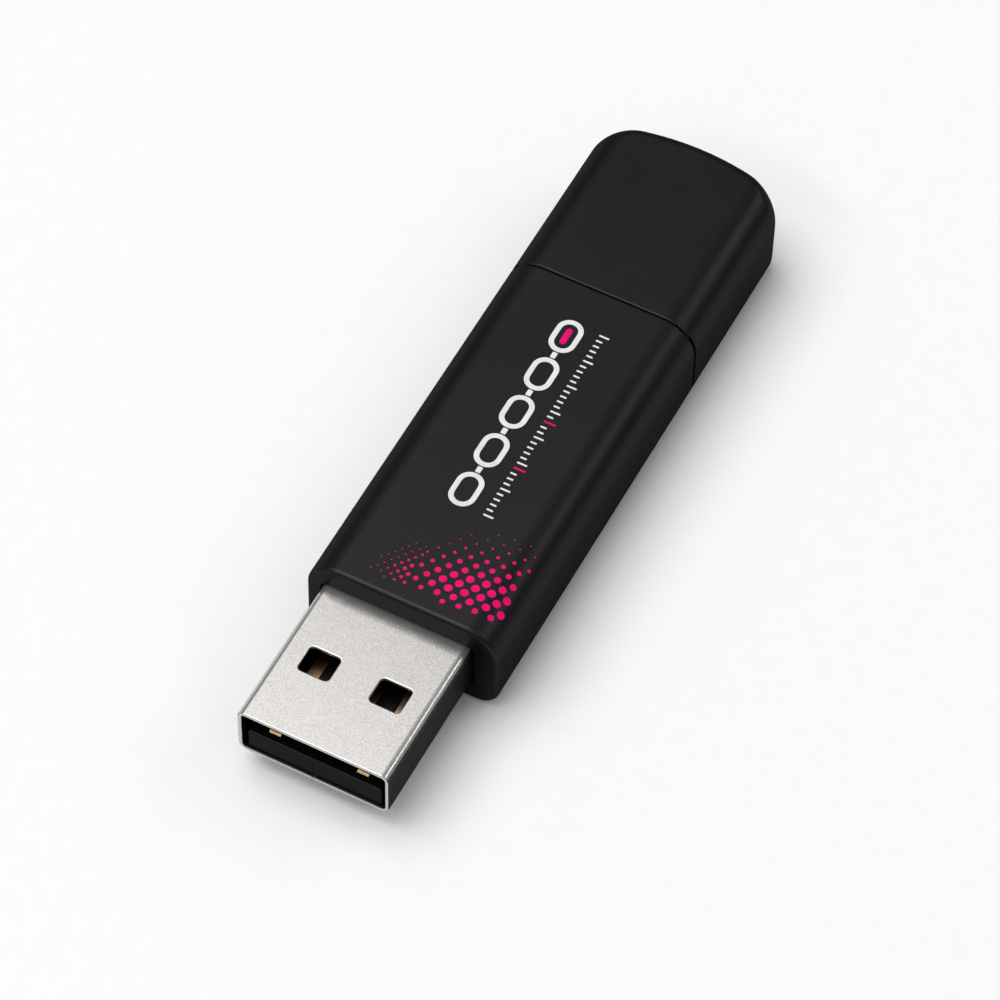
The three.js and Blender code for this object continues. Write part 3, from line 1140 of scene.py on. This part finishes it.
@dataclass(frozen=True)
class AreaLamp:
    """A rectangular softbox that looks at the drive."""

    name: str
    azimuth: float
    elevation: float
    distance: float
    width: float
    length: float
    power: float

    def hang(self, target: Vector) -> None:
        """Puts the lamp up and turns it to the target."""
        lamp = bpy.data.lights.new(self.name, "AREA")
        lamp.shape = "RECTANGLE"
        lamp.size, lamp.size_y = self.width, self.length
        lamp.energy = self.power
        holder = bpy.data.objects.new(self.name, lamp)
        bpy.context.scene.collection.objects.link(holder)
        back = direction(self.azimuth, self.elevation)
        holder.location = target + self.distance * back
        holder.rotation_euler = back.to_track_quat("Z", "Y").to_euler()


def direction(azimuth: float, elevation: float) -> Vector:
    """The way towards something seen from the drive.

    Args:
        azimuth: degrees, 0 in front of the plug's mouth and 90 at the drive's right.
        elevation: degrees above the floor.

    Returns:
        The unit vector.
    """
    turn, rise = math.radians(azimuth), math.radians(elevation)
    return Vector(
        (math.sin(turn) * math.cos(rise), -math.cos(turn) * math.cos(rise), math.sin(rise))
    )


@dataclass
class Studio:
    """The floor, the lights and the camera."""

    paper: bpy.types.Material
    azimuth: float = 26.54
    elevation: float = 54.352
    roll: float = 1.372
    distance: float = 0.3536
    aim: Vector = Vector((0.0007, -0.00385, 0.0041))
    lens: float = 175.94
    sensor: float = 36.0
    surround: float = 0.22
    suns: tuple[Sun, ...] = (
        Sun("key", -84.0, 68.0, 50.0, 1.46),
        Sun("fill", 70.0, 76.0, 56.0, 0.45),
    )
    softboxes: tuple[AreaLamp, ...] = (
        AreaLamp("top_softbox", -103.0, 66.0, 0.7, 0.65, 0.65, 1.38),
        AreaLamp("edge_strip", 132.0, 38.0, 0.5, 0.4, 0.04, 0.27),
        AreaLamp("front_strip", -26.0, 44.0, 0.5, 0.4, 0.04, 0.4),
    )

    def floor(self) -> None:
        """Lays the floor."""
        shape = bmesh.new()
        bmesh.ops.create_grid(shape, x_segments=1, y_segments=1, size=0.9)
        mesh = bpy.data.meshes.new("floor")
        shape.to_mesh(mesh)
        shape.free()
        mesh.materials.append(self.paper)
        floor = bpy.data.objects.new("floor", mesh)
        bpy.context.scene.collection.objects.link(floor)

    def lights(self) -> None:
        """Puts up the surround, the key light and the softboxes that draw the highlights."""
        world = bpy.data.worlds.new("studio")
        world.use_nodes = True
        background = world.node_tree.nodes["Background"]
        background.inputs["Color"].default_value = (1.0, 1.0, 1.0, 1.0)
        background.inputs["Strength"].default_value = self.surround
        bpy.context.scene.world = world
        for lamp in (*self.suns, *self.softboxes):
            lamp.hang(self.aim)

    def camera(self) -> None:
        """Sets the camera at the drive's front right, above it."""
        lens = bpy.data.cameras.new("camera")
        lens.lens = self.lens
        lens.sensor_width = self.sensor
        lens.clip_start = 0.01
        camera = bpy.data.objects.new("camera", lens)
        bpy.context.scene.collection.objects.link(camera)
        back = direction(self.azimuth, self.elevation)
        turn = math.radians(self.azimuth)
        right = Vector((math.cos(turn), math.sin(turn), 0.0))
        up = back.cross(right)
        tilt = math.radians(self.roll)
        across = math.cos(tilt) * right + math.sin(tilt) * up
        upright = back.cross(across)
        place_in_room = Matrix((across, upright, back)).transposed().to_4x4()
        place_in_room.translation = self.aim + self.distance * back
        camera.matrix_world = place_in_room
        bpy.context.scene.camera = camera

    def build(self) -> None:
        """Sets up the studio."""
        self.floor()
        self.lights()
        self.camera()
        bpy.context.scene.view_settings.view_transform = "Standard"


# ------------------------------------------------------------------------------------------------------------
# The drive
# ------------------------------------------------------------------------------------------------------------


def main() -> None:
    """Builds the studio, the pieces and the print."""
    logging.basicConfig(level=logging.INFO, format="%(name)s: %(message)s")
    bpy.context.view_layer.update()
    Studio(PaperSweep().material()).build()

    black = MouldedPlastic().material()
    nickel = BlastedNickel(scatter=0.12).material()
    # Dark nickel for the plug's sides and the shell's inside: painted shade and painted dark reflection, not
    # a colour of the metal itself. Its low glancing value dulls it further seen edge-on.
    painted_shade_sides = BlastedNickel(
        "burnished_sides", (0.04, 0.039, 0.038), (0.07, 0.068, 0.066), 0.4, glancing=0.4
    ).material()
    # A near-black finish for the cap's rim at the sides: painted shadow in the seam.
    seam_shadow_finish = MouldedPlastic("bare_black", (0.0006,) * 3, (0.0012,) * 3, 0.5, lacquer=0.004).material()
    tongue = MouldedPlastic("insulator_black", (0.0025,) * 3, (0.0045,) * 3, 0.34, lacquer=0.045).material()
    plug = Plug(nickel, painted_shade_sides)
    casing = Casing(black, seam_shadow_finish)
    mouth = plug.outline()
    plug.shell()
    casing.sleeve(replace(mouth.grown(casing.plug_gap), segments=14))
    casing.cap(replace(mouth.grown(casing.cap_fit), x=-mouth.x, segments=14))

    Inside(
        moulded=black,
        insulator=tongue,
        gold=PlatedMetal("contact_gold", (0.38, 0.245, 0.13), (0.50, 0.335, 0.19), 0.34).material(),
        tin=PlatedMetal("tinned_leads", (0.55, 0.55, 0.54), (0.72, 0.72, 0.70), 0.3).material(),
    ).build()

    Print(
        white=PrintingInk("white_ink", (0.64, 0.64, 0.64), (0.74, 0.74, 0.74)).material(),
        magenta=PrintingInk("magenta_ink", (0.66, 0.001, 0.12), (0.80, 0.0015, 0.155)).material(),
        casing=casing.outline(),
        front=node_box("body_sleeve")[0].y,
    ).build()


if __name__ == "__main__":
    main()
